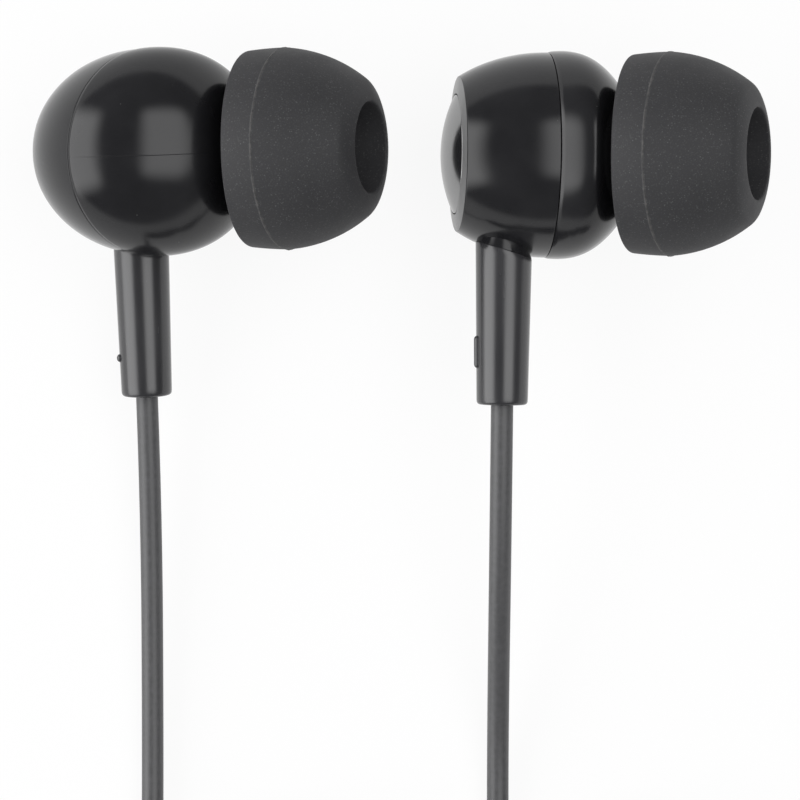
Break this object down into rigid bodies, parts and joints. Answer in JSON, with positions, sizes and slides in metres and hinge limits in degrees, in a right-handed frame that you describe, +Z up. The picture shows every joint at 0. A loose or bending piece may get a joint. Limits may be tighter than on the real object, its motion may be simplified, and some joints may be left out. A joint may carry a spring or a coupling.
{
  "type": "wired earphones",
  "caption": "Wired in-ear earphones: glossy black housings with angled nozzles and grey silicone tips, stems, a thin cable with a splitter and a straight audio plug.",
  "frame": {"origin": "on the surface the set lies on, under the middle of the two earpieces", "axes": "+X along the row from the left earpiece to the right one, +Y from the cables up to the earpieces, +Z up from the surface"},
  "size_m": [0.0505, 0.1559, 0.0172],
  "materials": {
    "tip_silicone": "matte charcoal silicone",
    "shell": "glossy black moulded shell",
    "bezel": "satin bevelled rim",
    "disc": "glossy domed disc, plain",
    "mesh": "fine steel mesh",
    "frame_plastic": "moulded basket",
    "steel": "zinc-plated steel",
    "magnet": "nickel-plated magnet",
    "film": "thin polyester film",
    "copper": "enamelled copper wire",
    "damping_paper": "acoustic paper",
    "board": "small circuit board with solder joints",
    "cord": "satin dark grey cable jacket",
    "stem": "semi-gloss soft moulding",
    "tie": "soft black band",
    "handle": "satin moulded grip",
    "contact": "nickel-plated contact",
    "insulator": "black insulating ring"
  },
  "bodies": {
    "earphones": {"left_front_housing": "shell", "left_rear_housing": "shell", "left_rear_ring": "bezel", "left_rear_disc": "disc", "left_nozzle_mesh": "mesh", "left_driver_frame": "frame_plastic", "left_driver_cover": "steel", "left_top_plate": "steel", "left_magnet": "magnet", "left_yoke": "steel", "left_damping_ring": "damping_paper", "left_terminal_board": "board", "left_cable_core": "cord", "left_strain_relief": "stem", "left_leg_cord": "cord", "left_leg_coil": "cord", "left_leg_tail": "cord", "left_leg_tie": "tie", "right_front_housing": "shell", "right_rear_housing": "shell", "right_rear_ring": "bezel", "right_rear_disc": "disc", "right_nozzle_mesh": "mesh", "right_driver_frame": "frame_plastic", "right_driver_cover": "steel", "right_top_plate": "steel", "right_magnet": "magnet", "right_yoke": "steel", "right_damping_ring": "damping_paper", "right_terminal_board": "board", "right_cable_core": "cord", "right_strain_relief": "stem", "right_leg_cord": "cord", "right_leg_coil": "cord", "right_leg_tail": "cord", "right_leg_tie": "tie", "splitter": "stem", "main_lead": "cord", "main_coil": "cord", "main_tail": "cord", "main_tie": "tie", "plug_boot": "stem", "plug_handle": "handle", "jack_sleeve": "contact", "jack_rear_insulator": "insulator", "jack_ring": "contact", "jack_front_insulator": "insulator", "jack_tip": "contact"},
    "left_tip": {"left_ear_tip": "tip_silicone"},
    "right_tip": {"right_ear_tip": "tip_silicone"},
    "left_membrane": {"left_diaphragm": "film", "left_voice_coil": "copper"},
    "right_membrane": {"right_diaphragm": "film", "right_voice_coil": "copper"}
  },
  "joints": [
    {"name": "left_tip_slide", "type": "slide", "parent": "earphones", "child": "left_tip", "axis": [0.9429, -0.0117, 0.3329], "range_m": [0, 0.0031]},
    {"name": "left_membrane_travel", "type": "slide", "parent": "earphones", "child": "left_membrane", "axis": [0.6894, -0.0645, 0.7215], "range_m": [-0.0001, 0.0001], "stiffness_N_per_m": 200},
    {"name": "right_tip_slide", "type": "slide", "parent": "earphones", "child": "right_tip", "axis": [0.934, -0.0245, 0.3563], "range_m": [0, 0.0031]},
    {"name": "right_membrane_travel", "type": "slide", "parent": "earphones", "child": "right_membrane", "axis": [0.9943, -0.0052, -0.1063], "range_m": [-0.0001, 0.0001], "stiffness_N_per_m": 200}
  ]
}
